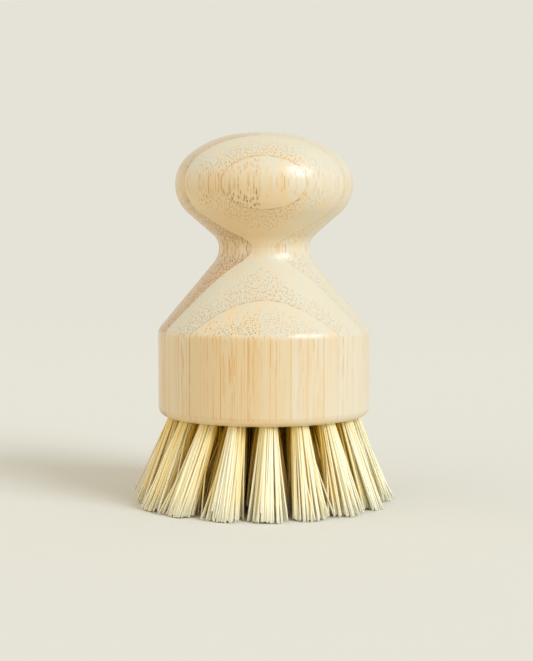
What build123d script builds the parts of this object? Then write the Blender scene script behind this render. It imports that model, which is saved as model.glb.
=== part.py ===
from build123d import *
import os
import random
from math import acos, atan2, cos, pi, radians, sin, sqrt, tan

# A palm-sized vegetable brush in millimetres: a turned bamboo block with a round knob,
# standing on thirty-seven tufts of stiff fibre that fan out from its drilled underside.
# The origin is on the floor plane under the block's axis, and +Z points up to the knob.

# Turned block: a drum under a cone that narrows to the neck
block_radius = 27.4
drum_height = 22.3
base_rounding = 2.4
shoulder_rounding = 3.0
neck_rise = 21.1
neck_radius = 11.7
cone_hollow = 6.4

# Turned knob: a hollow above the neck, a sloping underside, round sides, shoulders and a flat crown
knob_hollow = 4.2
underside_tilt = 49.0
knob_radius = 22.9
knob_side_radius = 9.8
knob_shoulder_tilt = 41.0
knob_shoulder_radius = 22.8
crown_radius = 50.0

# Holes bored in the underside, with flat bottoms
hole_radius = 2.25
hole_depth = 8.5
rim_land = 0.2
splay_angle = 17.0
drill_overrun = 3.0
ring_names = ("centre", "inner", "middle", "outer")
ring_counts = (1, 6, 12, 18)
ring_bearing = 2.9

# Folded fibre tufts
bristle_length = 22.2
tuft_clearance = 0.05
tuft_sides = 12
strand_rings = (1, 4, 8)
strand_radius = 0.42
strand_sides = 3
strand_root_depth = 0.6
tip_gap = 0.2
tip_wander = 0.3
tip_trim = 0.5
tip_scatter = 1.1
scatter_seed = 7

# Flat wire anchors that hold the folds
anchor_thickness = 0.4
anchor_height = 2.0
anchor_bite = 0.4
anchor_clearance = 0.03
fold_thickness = 1.0

# Levels of the block, and where its cone leaves the hollow under the neck
face_z = bristle_length
shoulder_z = face_z + drum_height
neck_z = shoulder_z + neck_rise
neck_edge = Vector(neck_radius, neck_z)
shoulder_corner = Vector(block_radius, shoulder_z)
cone_centre = neck_edge + Vector(cone_hollow, 0)
to_corner = shoulder_corner - cone_centre
cone_bearing = atan2(to_corner.Y, to_corner.X) - acos(cone_hollow / to_corner.length)
cone_start = cone_centre + Vector(cos(cone_bearing), sin(cone_bearing)) * cone_hollow

# Tangent points of the knob's outline, from its underside, which faces outward and down, to the crown
facing = Vector(cos(radians(underside_tilt)), -sin(radians(underside_tilt)))
underside_end = neck_edge + Vector(knob_hollow, 0) - facing * knob_hollow
side_reach = knob_radius - knob_side_radius
underside_run = (side_reach + facing.X * knob_side_radius - underside_end.X) / -facing.Y
underside_start = underside_end + Vector(-facing.Y, facing.X) * underside_run
side_centre = underside_start - facing * knob_side_radius
to_shoulder = Vector(sin(radians(knob_shoulder_tilt)), cos(radians(knob_shoulder_tilt)))
side_end = side_centre + to_shoulder * knob_side_radius
shoulder_centre = side_end - to_shoulder * knob_shoulder_radius
crown_drop = sqrt((crown_radius - knob_shoulder_radius) ** 2 - shoulder_centre.X**2)
crown_centre = shoulder_centre - Vector(shoulder_centre.X, crown_drop)
crown_top = crown_centre + Vector(0, crown_radius)
crown_end = crown_centre + (shoulder_centre - crown_centre).normalized() * crown_radius

# Rings of holes: their axes fan out from one point high on the block's own axis
outer_ring = block_radius - base_rounding - rim_land - hole_radius / cos(radians(splay_angle))
ring_pitch = outer_ring / (len(ring_counts) - 1)
fan_height = outer_ring / tan(radians(splay_angle))
fan_point = Vector(0, 0, face_z + fan_height)


def axis_point(ring, bearing, height):
    """The point of one tuft's axis at a height over the floor, with bearings from the front."""
    radius = ring * ring_pitch * (fan_point.Z - height) / fan_height
    return Vector(radius * sin(radians(bearing)), -radius * cos(radians(bearing)), height)


def hole_mouth(ring, bearing):
    """The plane at a hole's mouth: its normal runs up the hole, its x axis along the ring."""
    mouth = axis_point(ring, bearing, face_z)
    ring_direction = Vector(cos(radians(bearing)), sin(radians(bearing)))
    return Plane(mouth, x_dir=ring_direction, z_dir=fan_point - mouth)


places = [
    (ring, number, ring_bearing + number * 360 / count)
    for ring, count in enumerate(ring_counts)
    for number in range(count)
]
mouths = [hole_mouth(ring, bearing) for ring, number, bearing in places]

fold_depth = hole_depth - tuft_clearance
anchor_depth = fold_depth - fold_thickness - anchor_height / 2
anchor_length = 2 * (hole_radius + anchor_bite)
anchor_room = 2 * anchor_clearance
anchor_slot = (anchor_length + anchor_room, anchor_thickness + anchor_room, anchor_height + anchor_room)

os.makedirs("parts", exist_ok=True)

# Knob: turned with its half of the neck
with BuildPart() as knob:
    with BuildSketch(Plane.XZ):
        with BuildLine():
            crown = TangentArc(crown_top, crown_end, tangent=(1, 0))
            knob_shoulder = TangentArc(crown @ 1, side_end, tangent=crown % 1)
            side = TangentArc(knob_shoulder @ 1, underside_start, tangent=knob_shoulder % 1)
            underside = Line(side @ 1, underside_end)
            hollow = TangentArc(underside @ 1, neck_edge, tangent=underside % 1)
            Polyline(hollow @ 1, (0, neck_z), crown @ 0)
        make_face()
    revolve(axis=Axis.Z)
knob.part.label = "knob"
export_step(knob.part, "parts/knob.step")

# Block: turned below the neck, with its splayed holes and the nick of each anchor in their walls
with BuildPart() as block:
    with BuildSketch(Plane.XZ) as block_outline:
        with BuildLine():
            hollow = TangentArc(neck_edge, cone_start, tangent=(0, -1))
            drum = Polyline(hollow @ 1, shoulder_corner, (block_radius, face_z), (0, face_z))
            Polyline(drum @ 1, (0, neck_z), hollow @ 0)
        make_face()
        for corner, rounding in ((-1, shoulder_rounding), (0, base_rounding)):
            drum_side = block_outline.vertices().group_by(Axis.X)[-1].sort_by(Axis.Y)
            fillet(drum_side[corner], radius=rounding)
    revolve(axis=Axis.Z)
    with Locations(*[mouth.offset(-drill_overrun) for mouth in mouths]):
        Cylinder(
            radius=hole_radius,
            height=drill_overrun + hole_depth,
            align=(Align.CENTER, Align.CENTER, Align.MIN),
            mode=Mode.SUBTRACT,
        )
    with Locations(*[mouth.offset(anchor_depth) for mouth in mouths]):
        Box(*anchor_slot, mode=Mode.SUBTRACT)
block.part.label = "block"
export_step(block.part, "parts/block.step")

# Anchors: a short flat wire across each hole, with both ends bitten into the wood
with BuildPart() as tuft_anchors:
    with Locations(*[mouth.offset(anchor_depth) for mouth in mouths]):
        Box(anchor_length, anchor_thickness, anchor_height)
tuft_anchors.part.label = "tuft_anchors"
export_step(tuft_anchors.part, "parts/tuft_anchors.step")

# Strand layout: rings of strands that fill the hole's mouth and open out to the tips
packed_radius = hole_radius - tuft_clearance
root_spread = packed_radius * cos(pi / tuft_sides) - strand_radius
floor_pitch = ring_pitch * fan_point.Z / fan_height
tip_spread = (floor_pitch - tip_gap) / 2 - strand_radius - tip_wander
scatter = random.Random(scatter_seed)


def strand(root, tip, turn):
    """One three-sided strand, cut level at both ends."""
    with BuildPart() as fibre:
        with BuildSketch(Plane(root)):
            RegularPolygon(radius=strand_radius, side_count=strand_sides, rotation=turn)
        extrude(amount=(tip - root).length, dir=tip - root)
    return fibre.part


def fan_of_strands(ring, bearing):
    """The strands of one tuft: the middle one always reaches the floor."""
    root_centre = axis_point(ring, bearing, face_z + strand_root_depth)
    tip_centre = axis_point(ring, bearing, 0)
    layout_turn = scatter.uniform(0, 2 * pi)
    strands = []
    for row, count in enumerate(strand_rings):
        row_share = row / (len(strand_rings) - 1)
        for number in range(count):
            around = layout_turn + 2 * pi * (number + row_share) / count
            outward = Vector(cos(around), sin(around)) * row_share
            wander = Vector(scatter.uniform(-1, 1), scatter.uniform(-1, 1)) * (tip_wander / sqrt(2))
            root = root_centre + outward * root_spread
            tip = tip_centre + outward * tip_spread + wander * row_share
            shortfall = (scatter.uniform(0, tip_scatter) - tip_trim) * row_share
            end = root + (tip - root) * (1 - max(0, shortfall) / (root.Z - tip.Z))
            strands.append(strand(root, end, scatter.uniform(0, 360 / strand_sides)))
    return strands


# Tufts: a folded bundle packed in its hole, with a gap for the anchor across the fold
for (ring, number, bearing), mouth in zip(places, mouths):
    strands = fan_of_strands(ring, bearing)
    with BuildPart() as tuft:
        with BuildSketch(mouth.offset(fold_depth)):
            RegularPolygon(radius=packed_radius, side_count=tuft_sides)
        extrude(amount=-(fold_depth + drill_overrun))
        split(bisect_by=Plane.XY.offset(face_z), keep=Keep.TOP)
        with Locations(mouth.offset(anchor_depth)):
            Box(*anchor_slot, mode=Mode.SUBTRACT)
        add(strands)
    tuft_name = f"tuft_{ring_names[ring]}"
    if ring_counts[ring] > 1:
        tuft_name += f"_{number + 1:02d}"
    tuft.part.label = tuft_name
    export_step(tuft.part, f"parts/{tuft_name}.step")
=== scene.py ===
import math
import random
from types import SimpleNamespace

import bpy
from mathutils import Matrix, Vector


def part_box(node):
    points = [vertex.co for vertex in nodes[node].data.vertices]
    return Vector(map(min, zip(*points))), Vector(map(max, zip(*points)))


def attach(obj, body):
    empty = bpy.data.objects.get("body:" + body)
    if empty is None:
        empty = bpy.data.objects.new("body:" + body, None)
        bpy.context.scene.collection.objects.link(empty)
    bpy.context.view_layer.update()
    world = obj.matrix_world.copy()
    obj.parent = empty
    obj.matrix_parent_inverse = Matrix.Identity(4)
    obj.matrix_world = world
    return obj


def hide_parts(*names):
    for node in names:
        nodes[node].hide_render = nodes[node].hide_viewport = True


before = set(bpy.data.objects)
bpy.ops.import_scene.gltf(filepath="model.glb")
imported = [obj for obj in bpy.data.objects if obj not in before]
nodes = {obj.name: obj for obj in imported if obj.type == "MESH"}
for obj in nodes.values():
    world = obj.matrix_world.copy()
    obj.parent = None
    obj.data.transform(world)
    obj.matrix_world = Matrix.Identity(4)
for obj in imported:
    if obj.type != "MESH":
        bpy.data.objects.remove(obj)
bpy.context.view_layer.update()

MM = 0.001

# Camera: a long lens a little above the brush, with the sensor along the image's longer side
IMAGE_HEIGHT = 661
FOCAL_PIXELS = 1543.2
SENSOR = 36.0
CAMERA_DISTANCE = 0.400
CAMERA_PITCH = 0.072
AIM = Vector((0.0006, 0.0, 0.04402))

# Light: a large cool key on the right, a low warm card on the left and a warm fill from all round
KEY_BEARING = math.radians(50.5)
KEY_ELEVATION = math.radians(32)
KEY_SIZE = math.radians(31)
KEY_LEVEL = 0.57
KEY_TINT = (0.93, 1.05, 1.25)
CARD_BEARING = math.radians(-72)
CARD_ELEVATION = math.radians(18)
CARD_SIZE = math.radians(100)
CARD_LEVEL = 0.20
FILL_LEVEL = 0.66
FILL_TINT = (1.0, 0.945, 0.855)

# Paper: its colour, where it fades to an even backdrop, and half its width, in metres
PAPER = (0.783, 0.768, 0.680)
PAPER_FADE = (0.35, 0.9)
PAPER_REACH = 6.0

# Bamboo: layers glued front to back and strips side by side, with upright fibres, in millimetres
LAYER_START = 2.35
LAYER_THICKNESS = 9.05
STRIP_START = -1.0
STRIP_WIDTH = 20.5
LAYER_DRIFT = 0.3
BUNDLE_DRIFT = 0.8

# Half the width of a glue line, as a share of a layer
GLUE_LINE = 0.02

# Heights over the floor between which the wood's look changes, in millimetres
BASE_ROUNDING = (22.0, 27.5)
DRUM = (26.0, 43.0)
UNDER_SHOULDER = (37.0, 42.5)
SHOULDER = (40.0, 44.0)
UNDER_KNOB = (56.0, 66.0)
NECK = (64.0, 72.0)
KNOB_SIDE = (72.0, 80.0)
KNOB_TOP = (78.5, 83.0)

# Colours of the wood: pale and warm strips, cut along or across the grain, and the marks on them
PALE_WALL = (0.75, 0.68, 0.515)
WARM_WALL = (0.77, 0.575, 0.30)
PALE_END = (0.71, 0.66, 0.50)
WARM_END = (0.83, 0.615, 0.33)
RUDDY_END = (0.64, 0.43, 0.24)
HONEY = (0.77, 0.56, 0.29)
STREAK = (0.70, 0.32, 0.06)
DOT = (0.42, 0.23, 0.07)
DARK_DOT = (0.28, 0.13, 0.03)
BROWN_DOT = (0.44, 0.22, 0.06)
SKIN_LINE = (0.50, 0.30, 0.13)

# Colours of the bristles: from one fibre to the next, golden at the root as painted shade under the
# block, paler at the tip partly as painted light, and a painted golden shade where little light comes
CREAM_FIBRE = (0.96, 0.91, 0.67)
STRAW_FIBRE = (0.96, 0.88, 0.55)
PALE_FIBRE = (0.96, 0.93, 0.79)
GOLDEN_FIBRE = (0.92, 0.70, 0.25)
# Painted shade: golden towards the root, where the fibres leave the block
FIBRE_ROOT = (0.93, 0.72, 0.25)
# Painted golden shade for fibres that get little light
PAINTED_FIBRE_SHADE = (0.98, 0.65, 0.06)
# Paler tips: partly the cut ends, partly painted light on the tips near the floor
FIBRE_TIP = (0.97, 0.94, 0.76)

# Colours of the anchors' wire, and the size of its streaks
DARK_WIRE = (0.60, 0.60, 0.61)
LIGHT_WIRE = (0.68, 0.67, 0.66)
WIRE_STREAKS = 2600.0

# Fibres: their number, the spread of their tips, the flare at the mouth and the height of the bend
OUTER = SimpleNamespace(fibres=160, spread=4.2 * MM, flare=0.6 * MM, bend=1.0)
SHELTERED = SimpleNamespace(fibres=110, spread=5.2 * MM, flare=1.7 * MM, bend=0.7)
BEND_SHARES = (0.22, 0.36)

# One fibre: a tube that widens a little from root to tip
FIBRE_RADIUS = 0.24 * MM
FIBRE_SIZES = (0.82, 1.12)
FIBRE_SIDES = 5
FIBRE_STEPS = 7
ROOT_WIDTH = 0.96
TIP_WIDTH = 1.04
ROOT_SPREAD = 1.92 * MM
ROOT_DEPTH = 1.5 * MM

# Ends: how they scatter and stray, how far they may reach, and how unevenly they are trimmed
GOLDEN_ANGLE = math.pi * (3 - math.sqrt(5))
TURN_SCATTER = 0.12
END_SCATTER = 0.42 * MM
STRAY_SHARE = 0.12
STRAY_LEANS = (1.2 * MM, 4.8 * MM)
FARTHEST_END = 34.2 * MM
FLOOR_CLEARANCE = 0.12 * MM
TRIM_SCATTER = 0.45 * MM
SHORT_SHARE = 0.08
SHORT_TRIMS = (0.5 * MM, 2.2 * MM)
FIBRE_SEED = 5

# Lean: how far the tips of each ring move outward, and those of some outer tufts sideways
RING_LEANS = {"centre": 0.0, "inner": 1.4 * MM, "middle": 3.0 * MM}
FRONT_LEAN = 1.7 * MM
SIDE_LEANS = {
    "outer_01": -1.0 * MM,
    "outer_02": -0.9 * MM,
    "outer_03": -0.6 * MM,
    "outer_04": -0.2 * MM,
    "outer_05": -0.8 * MM,
    "outer_16": -2.2 * MM,
    "outer_17": -2.5 * MM,
    "outer_18": -0.7 * MM,
}
NARROW_TUFTS = {"outer_15": 0.85, "outer_16": 0.78, "outer_17": 0.82, "outer_02": 0.94}

# How much of a packed tuft, at its lower and upper end, gives the centres of its tips and of its plug
TIP_PART = 1.2 * MM
PLUG_PART = 1.5 * MM


class Output:
    """One output of a shader node, with the arithmetic of numbers."""

    def __init__(self, graph, socket):
        self.graph = graph
        self.socket = socket

    def __add__(self, other):
        return self.graph.math("ADD", self, other)

    def __sub__(self, other):
        return self.graph.math("SUBTRACT", self, other)

    def __rsub__(self, other):
        return self.graph.math("SUBTRACT", other, self)

    def __mul__(self, other):
        return self.graph.math("MULTIPLY", self, other)

    def __truediv__(self, other):
        return self.graph.math("DIVIDE", self, other)

    def __abs__(self):
        return self.graph.math("ABSOLUTE", self)

    def floor(self):
        return self.graph.math("FLOOR", self)

    def fraction(self):
        return self.graph.math("FRACT", self)

    def at_least(self, other):
        return self.graph.math("MAXIMUM", self, other)

    def ramp(self, low, high, start=0.0, end=1.0):
        """A smooth step that goes from start to end as this number goes from low to high."""
        inputs = {"Value": self, "From Min": low, "From Max": high, "To Min": start, "To Max": end}
        step = self.graph.add("ShaderNodeMapRange", inputs, interpolation_type="SMOOTHSTEP")
        return Output(self.graph, step.outputs[0])


class Graph:
    """Adds shader nodes to a material or world and links them with short calls."""

    def __init__(self, owner):
        self.owner = owner
        owner.use_nodes = True
        self.tree = owner.node_tree
        self.tree.nodes.clear()

    def add(self, kind, inputs=None, **settings):
        """A node of a kind, with its settings, and its inputs set or linked."""
        node = self.tree.nodes.new(kind)
        for key, value in settings.items():
            setattr(node, key, value)
        for key, value in (inputs or {}).items():
            self.feed(node.inputs[key], value)
        return node

    def feed(self, socket, value):
        """Links a socket to a node's output, or sets its number or colour."""
        if isinstance(value, Output):
            value = value.socket
        if isinstance(value, bpy.types.NodeSocket):
            self.tree.links.new(value, socket)
        elif socket.type == "RGBA":
            socket.default_value = (*value, 1.0)
        else:
            socket.default_value = value

    def math(self, operation, *values):
        node = self.add("ShaderNodeMath", dict(enumerate(values)), operation=operation)
        return Output(self, node.outputs[0])

    def vector(self, x, y, z=0.0):
        return self.add("ShaderNodeCombineXYZ", {"X": x, "Y": y, "Z": z}).outputs[0]

    def split(self, kind, whole):
        """The three numbers of a vector or colour."""
        return [Output(self, output) for output in self.add(kind, {0: whole}).outputs]

    def mix(self, share, a, b):
        """Colour a with a share of b."""
        return self.add("ShaderNodeMix", {0: share, 6: a, 7: b}, data_type="RGBA").outputs[2]

    def noise(self, place, level, upright, detail=2.0, rough=0.5, output="Fac"):
        """Noise at a place, scaled one way over the floor and another way up the grain."""
        x, y, z = place
        vector = self.vector(x * level, y * level, z * upright)
        inputs = {"Vector": vector, "Scale": 1.0, "Detail": detail, "Roughness": rough}
        return Output(self, self.add("ShaderNodeTexNoise", inputs).outputs[output])

    def finish(self, shader, output="ShaderNodeOutputMaterial"):
        """Shows a shader, and gives back the material or world."""
        self.add(output, {"Surface": shader.outputs[0]})
        return self.owner


def bundles(across, through, amount, spacing, radius, spread, core=0.5):
    """The dark fibre bundles of bamboo: dots across the grain, and streaks along it."""
    graph = across.graph
    inputs = {"Vector": graph.vector(across, through), "Scale": 1 / spacing, "Randomness": 0.85}
    cell = graph.add("ShaderNodeTexVoronoi", inputs, voronoi_dimensions="2D").outputs
    how_wide, how_rare, how_dark = graph.split("ShaderNodeSeparateColor", cell["Color"])
    size = how_wide * (spread / spacing) + radius / spacing
    dot = Output(graph, cell["Distance"]).ramp(size * core, size * (2.0 - core), 1.0, 0.0)
    kept = how_rare.ramp(amount - 0.45, amount, 1.0, 0.0)
    return dot * kept * (how_dark * 0.55 + 0.45)


def wood_place(graph):
    """Where a point of the wood is: its place in millimetres, its layer and strip, slope or wall."""
    at = SimpleNamespace()
    object_place = graph.add("ShaderNodeTexCoord").outputs["Object"]
    at.x, y, at.z = (axis * (1 / MM) for axis in graph.split("ShaderNodeSeparateXYZ", object_place))
    at.place = (at.x, y, at.z)
    depth = y * -1.0

    # The bundles wander a little as they run up the block
    drift = graph.noise(at.place, 0.12, 0.025, detail=3.0, output="Color")
    sideways, forward = graph.split("ShaderNodeSeparateColor", drift)[:2]
    at.across = (sideways - 0.5) * BUNDLE_DRIFT + at.x
    at.through = (forward - 0.5) * BUNDLE_DRIFT + depth
    at.grain = (at.across, at.through, at.z)

    # Layer and strip: every second layer is shifted by half a strip
    at.stack = ((forward - 0.5) * LAYER_DRIFT + depth - LAYER_START) / LAYER_THICKNESS
    at.within = at.stack.fraction()
    at.offset = (at.stack.floor() * 0.5).fraction()
    row = (at.x - STRIP_START) / STRIP_WIDTH - at.offset
    at.strip = row.floor() + at.offset + 0.5

    # The cap that the front layer is cut to, and all that lies behind the second glue line
    at.cap = at.stack.ramp(2.0 - GLUE_LINE, 2.0 + GLUE_LINE)
    at.behind = at.stack.ramp(1.0 + GLUE_LINE, 1.0 - GLUE_LINE)

    # How near the culm's skin the point was, which curves over the strip's width
    from_middle = row.fraction() - 0.5
    at.skin = at.within - from_middle * from_middle * 0.5

    # The strips on the left come from a darker culm than those on the right
    at.lot = at.strip.ramp(-0.6, 0.6, 0.95, 0.12)

    # The lie of the surface: end grain on the slopes, long grain on the upright walls
    normal = graph.add("ShaderNodeNewGeometry").outputs["Normal"]
    at.facing_up = graph.split("ShaderNodeSeparateXYZ", normal)[2]
    at.slope = abs(at.facing_up).ramp(0.05, 0.5)
    at.wall = 1.0 - at.slope
    return at


def bundle_marks(graph, at):
    """Fine crowded bundles towards each strip's skin, and sparse coarse ones in some strips."""
    patch = graph.noise(at.place, 0.16, 0.02, detail=1.0) - 0.5
    under_arc = at.cap * at.z.ramp(*NECK, 0.22, 0.0)
    crowding = (patch * 0.5 + at.lot * 0.1 + at.skin + under_arc).ramp(0.25, 1.0, 0.2, 1.4)
    fine = bundles(at.across, at.through, crowding, spacing=0.52, radius=0.11, spread=0.06)

    dark_strip = at.offset.ramp(0.1, 0.4, 1.0, 0.0) * at.lot.ramp(0.5, 0.9)
    inner = at.within.ramp(0.15, 0.7, 1.1, 0.0) * at.z.ramp(*NECK)
    sparse = dark_strip * inner.at_least(at.behind)
    coarse = bundles(at.across, at.through, sparse, spacing=0.75, radius=0.13, spread=0.13)
    dash = graph.noise(at.grain, 1.3, 0.8, detail=1.0).ramp(0.38, 0.5).at_least(at.slope)
    bold = dash * at.z.ramp(*KNOB_TOP, 0.95, 0.45) * at.z.ramp(*SHOULDER, 0.35, 1.0)
    return fine, coarse * bold


def wood_ground(graph, at):
    """The wood between its marks: pale and warm strips with a soft long grain."""
    # Warmer in patches, on the left, under the knob and on other faces turned down as painted warm
    # bounce light, in the middle of the cap and at layers' edges
    patches = graph.noise(at.grain, 0.45, 0.03).ramp(0.3, 0.75, -0.15, 0.3)
    leftward = at.x.ramp(-16.0, 14.0, 0.49, 0.13) * at.facing_up.ramp(0.6, 0.1, 0.2, 1.0)
    outermost = at.strip.ramp(-0.6, -0.95, 0.0, -0.25)
    # Painted warm bounce light: faces turned down, most of all on the left, are made warmer
    underside = at.facing_up.ramp(0.35, -0.6, 0.0, 0.5) * at.x.ramp(-4.0, 12.0, 1.0, 0.5)
    middle = at.z.ramp(*NECK) * at.x.ramp(7.0, 3.5, 0.0, 0.2) + at.z.ramp(*NECK, 0.2, 0.0)
    edge = at.within.ramp(0.7, 1.0, 0.0, 0.3) * at.z.ramp(*KNOB_SIDE)
    warmth = at.lot * 0.15 + patches + leftward + outermost + underside + middle * at.cap + edge

    warm = warmth.ramp(0.0, 1.0)
    fibres = graph.noise(at.grain, 3.2, 0.07, detail=3.0, rough=0.6)
    wall = graph.mix(warm, PALE_WALL, WARM_WALL)
    wall = graph.mix(fibres.ramp(0.42, 0.68, 0.0, 0.45), wall, HONEY)
    end = graph.mix(warm, PALE_END, WARM_END)
    end = graph.mix(fibres.ramp(0.4, 0.75, 0.0, 0.3), end, HONEY)

    # The end grain of one layer is ruddy on the left, most of all below the knob
    one_layer = at.behind * at.stack.ramp(-GLUE_LINE, GLUE_LINE)
    ruddy = one_layer * at.x.ramp(-1.0, -7.0) * at.within.ramp(0.2, 0.8, 0.7, 1.1)
    end = graph.mix(ruddy * at.z.ramp(*UNDER_KNOB, 0.8, 0.36), end, RUDDY_END)
    return graph.mix(at.slope, wall, end)


def bamboo_material():
    """Laminated bamboo under a satin lacquer, solid through the whole block."""
    graph = Graph(bpy.data.materials.new("laminated_bamboo"))
    at = wood_place(graph)
    fine, coarse = bundle_marks(graph, at)
    wood = wood_ground(graph, at)

    # Fine bundles show as short streaks on the walls, and as dots on the slopes above the base
    fleck = graph.noise(at.grain, 1.5, 0.17).ramp(0.38, 0.6)
    streaked = fleck * at.z.ramp(*DRUM, 0.5, 1.0) * (at.lot * 0.4 + 0.7)
    dotted = (at.lot * 0.5 + 0.42) * at.z.ramp(*BASE_ROUNDING, 0.1, 1.0)
    strength = streaked * at.wall + dotted * at.slope
    wood = graph.mix(fine * strength, wood, graph.mix(at.slope, STREAK, DOT))

    # Single lines run down the walls, strongest under the shoulder
    run = graph.noise(at.grain, 1.3, 0.05, detail=1.0).ramp(0.36, 0.52)
    run = run.at_least(at.z.ramp(*UNDER_SHOULDER, 0.0, 0.85)) * 0.8
    lines = bundles(at.x, at.through, 0.95, spacing=1.0, radius=0.12, spread=0.08, core=0.75)
    wood = graph.mix(lines * run * at.wall, wood, STREAK)

    # Coarse bundles are dark, and browner at the top of the knob and behind the cap
    brown = at.z.ramp(*KNOB_TOP).at_least(at.behind * 0.45)
    wood = graph.mix(coarse, wood, graph.mix(brown, DARK_DOT, BROWN_DOT))

    # The skin of each layer, a thin broken brown line where it is glued to the next one
    broken = graph.noise(at.place, 0.9, 0.3).ramp(0.35, 0.65, 0.2, 0.8)
    rim = at.within.ramp(0.95, 0.995) * broken * at.lot.ramp(0.0, 0.6, 0.3, 0.8)
    wood = graph.mix(rim, wood, SKIN_LINE)

    pores = {"Height": fine, "Strength": 0.12, "Distance": 0.04 * MM}
    bump = graph.add("ShaderNodeBump", pores, invert=True)
    shader = graph.add(
        "ShaderNodeBsdfPrincipled",
        {
            "Base Color": wood,
            "Roughness": 0.45,
            "IOR": 1.5,
            "Coat Weight": 0.45,
            "Coat Roughness": 0.2,
            "Coat IOR": 1.5,
            "Normal": bump.outputs[0],
        },
    )
    return graph.finish(shader)


def fibre_material():
    """Stiff pale plant fibre, a little different from one fibre to the next, golden towards its root as
    painted shade, paler at its tip partly as painted light, and painted golden shade where a fibre gets
    little light.
    """
    graph = Graph(bpy.data.materials.new("bristle_fibre"))
    marks = graph.add("ShaderNodeVertexColor", layer_name="fibre").outputs
    straw, kind, along = graph.split("ShaderNodeSeparateColor", marks["Color"])
    painted_shade = Output(graph, marks["Alpha"])
    tone = graph.mix(straw, CREAM_FIBRE, STRAW_FIBRE)
    tone = graph.mix(kind.ramp(0.6, 1.0, 0.0, 0.6), tone, PALE_FIBRE)
    tone = graph.mix(kind.ramp(0.0, 0.12, 0.6, 0.0), tone, GOLDEN_FIBRE)
    # Painted shade near the mouth: golden towards the root
    tone = graph.mix(along.ramp(0.0, 0.55, 0.55, 0.0), tone, FIBRE_ROOT)
    # Painted shade: fibres that get little light are mixed towards a deep golden colour
    tone = graph.mix(painted_shade * along.ramp(0.3, 0.9, 1.0, 0.6), tone, PAINTED_FIBRE_SHADE)
    # Paler towards the tip: partly the cut ends, partly painted light
    tone = graph.mix(along.ramp(0.84, 1.0, 0.0, 0.6), tone, FIBRE_TIP)
    shader = graph.add(
        "ShaderNodeBsdfPrincipled",
        {"Base Color": tone, "Roughness": 0.55, "IOR": 1.45, "Specular IOR Level": 0.15},
    )
    return graph.finish(shader)


def wire_material():
    """Dull plated wire, with fine streaks."""
    graph = Graph(bpy.data.materials.new("anchor_wire"))
    place = graph.add("ShaderNodeTexCoord").outputs["Object"]
    streaks = graph.add("ShaderNodeTexNoise", {"Vector": place, "Scale": WIRE_STREAKS})
    streak = Output(graph, streaks.outputs["Fac"])
    shader = graph.add(
        "ShaderNodeBsdfPrincipled",
        {
            "Base Color": graph.mix(streak, DARK_WIRE, LIGHT_WIRE),
            "Metallic": 1.0,
            "Roughness": streak.ramp(0.3, 0.7, 0.25, 0.45),
        },
    )
    return graph.finish(shader)


def paint(node, material):
    """Gives a CAD node its material."""
    node.data.materials.clear()
    node.data.materials.append(material)


def tuft_ends(node, mouth_z):
    """The centres of a tuft's mouth and of its tips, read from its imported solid."""
    points = [vertex.co for vertex in node.data.vertices]
    highest = max(point.z for point in points)
    lower = [point for point in points if point.z < TIP_PART]
    upper = [point for point in points if point.z > highest - PLUG_PART]
    tip = sum(lower, Vector()) / len(lower)
    plug = sum(upper, Vector()) / len(upper)
    tip.z = 0.0
    axis = (tip - plug).normalized()
    return plug + axis * ((mouth_z - plug.z) / axis.z), tip


def tuft_lean(place, ring, away):
    """How far the tips of a tuft lean from the line of its hole."""
    if ring != "outer":
        return away * RING_LEANS[ring]
    return away * (FRONT_LEAN * away.y**2) + Vector((SIDE_LEANS.get(place, 0.0), 0.0, 0.0))


def fibre_end(middle, right, front, chance):
    """Where a fibre ends: scattered, sometimes astray, and trimmed a little unevenly."""
    end = middle + right * chance.gauss(0, END_SCATTER) + front * chance.gauss(0, END_SCATTER)
    if chance.random() < STRAY_SHARE:
        leaning = chance.uniform(0, 2 * math.pi)
        stray = chance.uniform(*STRAY_LEANS)
        end = end + right * (math.cos(leaning) * stray) + front * (math.sin(leaning) * stray)
    trim = abs(chance.gauss(0, TRIM_SCATTER))
    if chance.random() < SHORT_SHARE:
        trim += chance.uniform(*SHORT_TRIMS)
    too_far = max(1.0, Vector((end.x, end.y)).length / FARTHEST_END)
    return Vector((end.x / too_far, end.y / too_far, trim + FLOOR_CLEARANCE))


def fibre_path(root, bend, end):
    """A smooth curve from root to end, drawn towards the bend."""
    path = []
    for step in range(FIBRE_STEPS):
        t = step / (FIBRE_STEPS - 1)
        path.append(root * (1 - t) ** 2 + bend * (2 * t * (1 - t)) + end * t * t)
    return path


def painted_fibre_shade(kind, out, outward, away):
    """How much painted golden shade a fibre gets, for how little light reaches it: all of a sheltered
    tuft, and an outer tuft's inner or far side, its depths, or the brush's left.
    """
    if kind is SHELTERED:
        return 1.0
    inner_side = -outward.dot(away) * 1.5
    far_side = -outward.x * away.x * 1.4
    deep = (0.82 - out) / 0.3
    left = (-away.x - 0.3) * 0.55
    return min(1.0, max(0.0, inner_side, far_side, deep, left))


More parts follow.
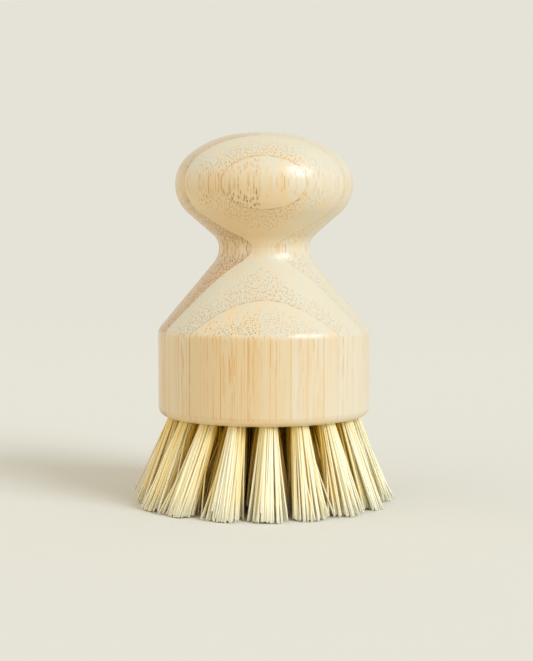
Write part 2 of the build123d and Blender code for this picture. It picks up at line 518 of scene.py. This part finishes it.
def add_tube(mesh, path, radius, marks):
    """Adds one fibre to a mesh: a tube with flat ends, marked with its colours' shares."""
    straw, kind, painted_shade = marks
    base = len(mesh.verts)
    last_step = len(path) - 1
    for index, point in enumerate(path):
        direction = (path[min(index + 1, last_step)] - path[max(index - 1, 0)]).normalized()
        side = direction.cross(Vector((0.3, 1.0, 0.1))).normalized()
        other = direction.cross(side)
        along = index / last_step
        width = radius * (ROOT_WIDTH + (TIP_WIDTH - ROOT_WIDTH) * along)
        for number in range(FIBRE_SIDES):
            around = 2 * math.pi * number / FIBRE_SIDES
            rim = side * (math.cos(around) * width) + other * (math.sin(around) * width)
            mesh.verts.append(tuple(point + rim))
            mesh.colours.append((straw, kind, along, painted_shade))
    for index in range(last_step):
        low = base + index * FIBRE_SIDES
        high = low + FIBRE_SIDES
        for number in range(FIBRE_SIDES):
            step = (number + 1) % FIBRE_SIDES
            mesh.faces.append((low + number, low + step, high + step, high + number))
    last = base + last_step * FIBRE_SIDES
    mesh.faces.append(tuple(range(base + FIBRE_SIDES - 1, base - 1, -1)))
    mesh.faces.append(tuple(range(last, last + FIBRE_SIDES)))


def tuft_mesh(place, ring, mouth, tip, chance):
    """The fibres of one tuft: packed in the hole, then opening out to ragged trimmed tips."""
    kind = OUTER if ring == "outer" else SHELTERED
    spread = kind.spread * NARROW_TUFTS.get(place, 1.0)
    away = Vector((tip.x, tip.y, 0.0)).normalized()
    tip = tip + tuft_lean(place, ring, away)
    axis = (tip - mouth).normalized()
    start = mouth - axis * ROOT_DEPTH
    right = axis.cross(Vector((0.0, 1.0, 0.0))).normalized()
    front = axis.cross(right)
    mesh = SimpleNamespace(verts=[], faces=[], colours=[])
    turn = chance.uniform(0, 2 * math.pi)
    for number in range(kind.fibres):
        out = math.sqrt((number + 0.5) / kind.fibres)
        around = turn + number * GOLDEN_ANGLE + chance.gauss(0, TURN_SCATTER)
        outward = right * (math.cos(around) * out) + front * (math.sin(around) * out)
        root = start + outward * ROOT_SPREAD
        end = fibre_end(tip + outward * spread, right, front, chance)
        bend_share = chance.uniform(*BEND_SHARES) * kind.bend
        bend = root + axis * ((end - root).length * bend_share) + outward * kind.flare
        painted_shade = painted_fibre_shade(kind, out, outward, away)
        marks = (chance.random(), chance.random(), painted_shade)
        radius = FIBRE_RADIUS * chance.uniform(*FIBRE_SIZES)
        add_tube(mesh, fibre_path(root, bend, end), radius, marks)
    return mesh


def bristles(node, mouth_z, chance, material):
    """One piece of bristles, which stands for a tuft of the frame."""
    place = node.name.removeprefix("tuft_")
    mouth, tip = tuft_ends(node, mouth_z)
    mesh = tuft_mesh(place, place.split("_")[0], mouth, tip, chance)
    name = "bristles_" + place
    data = bpy.data.meshes.new(name)
    data.from_pydata(mesh.verts, [], mesh.faces)
    layer = data.color_attributes.new("fibre", "FLOAT_COLOR", "POINT")
    layer.data.foreach_set("color", [channel for colour in mesh.colours for channel in colour])
    data.shade_smooth()
    data.materials.append(material)
    piece = bpy.data.objects.new(name, data)
    bpy.context.scene.collection.objects.link(piece)
    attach(piece, "root")
    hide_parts(node.name)


def seen(graph):
    """1 for what the camera, a reflection or a view through glass sees, and 0 for light on things."""
    rays = graph.add("ShaderNodeLightPath").outputs
    mirrored = Output(graph, rays["Is Glossy Ray"]).at_least(rays["Is Transmission Ray"])
    return mirrored.at_least(rays["Is Camera Ray"])


def make_floor():
    """A pale sheet of paper that runs on for ever, and shows its own colour far off."""
    graph = Graph(bpy.data.materials.new("studio_paper"))
    place = graph.add("ShaderNodeTexCoord").outputs["Object"]
    length = graph.add("ShaderNodeVectorMath", {0: place}, operation="LENGTH")
    far = Output(graph, length.outputs["Value"]).ramp(*PAPER_FADE)
    lit = graph.add("ShaderNodeBsdfDiffuse", {"Color": PAPER})
    plain = graph.add("ShaderNodeEmission", {"Color": PAPER, "Strength": 1.0})
    shares = {0: far * seen(graph), 1: lit.outputs[0], 2: plain.outputs[0]}
    paper = graph.finish(graph.add("ShaderNodeMixShader", shares))
    signs = ((-1, -1), (1, -1), (1, 1), (-1, 1))
    corners = [(x * PAPER_REACH, y * PAPER_REACH, 0.0) for x, y in signs]
    data = bpy.data.meshes.new("floor")
    data.from_pydata(corners, [], [(0, 1, 2, 3)])
    data.materials.append(paper)
    floor = bpy.data.objects.new("floor", data)
    bpy.context.scene.collection.objects.link(floor)


def make_world():
    """An even light from all round, which the camera and reflections see as the paper's colour."""
    graph = Graph(bpy.data.worlds.new("studio"))
    fill = graph.add("ShaderNodeBackground", {"Color": FILL_TINT, "Strength": FILL_LEVEL})
    plain = graph.add("ShaderNodeBackground", {"Color": PAPER, "Strength": 1.0})
    shares = {0: seen(graph), 1: fill.outputs[0], 2: plain.outputs[0]}
    mixed = graph.add("ShaderNodeMixShader", shares)
    bpy.context.scene.world = graph.finish(mixed, "ShaderNodeOutputWorld")


def make_light(name, bearing, elevation, size, level, tint):
    """A light as wide as a large softbox, and as even over the floor as daylight."""
    data = bpy.data.lights.new(name, "SUN")
    data.energy = level * math.pi
    data.angle = size
    data.color = tint
    light = bpy.data.objects.new(name, data)
    reach = math.cos(elevation)
    toward = Vector((math.sin(bearing) * reach, -math.cos(bearing) * reach, math.sin(elevation)))
    light.rotation_euler = toward.to_track_quat("Z", "Y").to_euler()
    light.location = toward
    bpy.context.scene.collection.objects.link(light)


def make_camera():
    """The photograph's view: a long lens, pitched down a few degrees."""
    data = bpy.data.cameras.new("camera")
    data.sensor_width = SENSOR
    data.lens = FOCAL_PIXELS * SENSOR / IMAGE_HEIGHT
    camera = bpy.data.objects.new("camera", data)
    back = Vector((0.0, -math.cos(CAMERA_PITCH), math.sin(CAMERA_PITCH)))
    camera.location = AIM + back * CAMERA_DISTANCE
    camera.rotation_euler = back.to_track_quat("Z", "Y").to_euler()
    bpy.context.scene.collection.objects.link(camera)
    bpy.context.scene.camera = camera


make_camera()
make_light("key", KEY_BEARING, KEY_ELEVATION, KEY_SIZE, KEY_LEVEL, KEY_TINT)
make_light("card", CARD_BEARING, CARD_ELEVATION, CARD_SIZE, CARD_LEVEL, FILL_TINT)
make_world()
make_floor()
bpy.context.scene.view_settings.view_transform = "Standard"

bamboo = bamboo_material()
paint(nodes["block"], bamboo)
paint(nodes["knob"], bamboo)
paint(nodes["tuft_anchors"], wire_material())

fibre = fibre_material()
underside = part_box("block")[0].z
chance = random.Random(FIBRE_SEED)
for name in sorted(n for n in nodes if n.startswith("tuft_") and n != "tuft_anchors"):
    bristles(nodes[name], underside, chance, fibre)
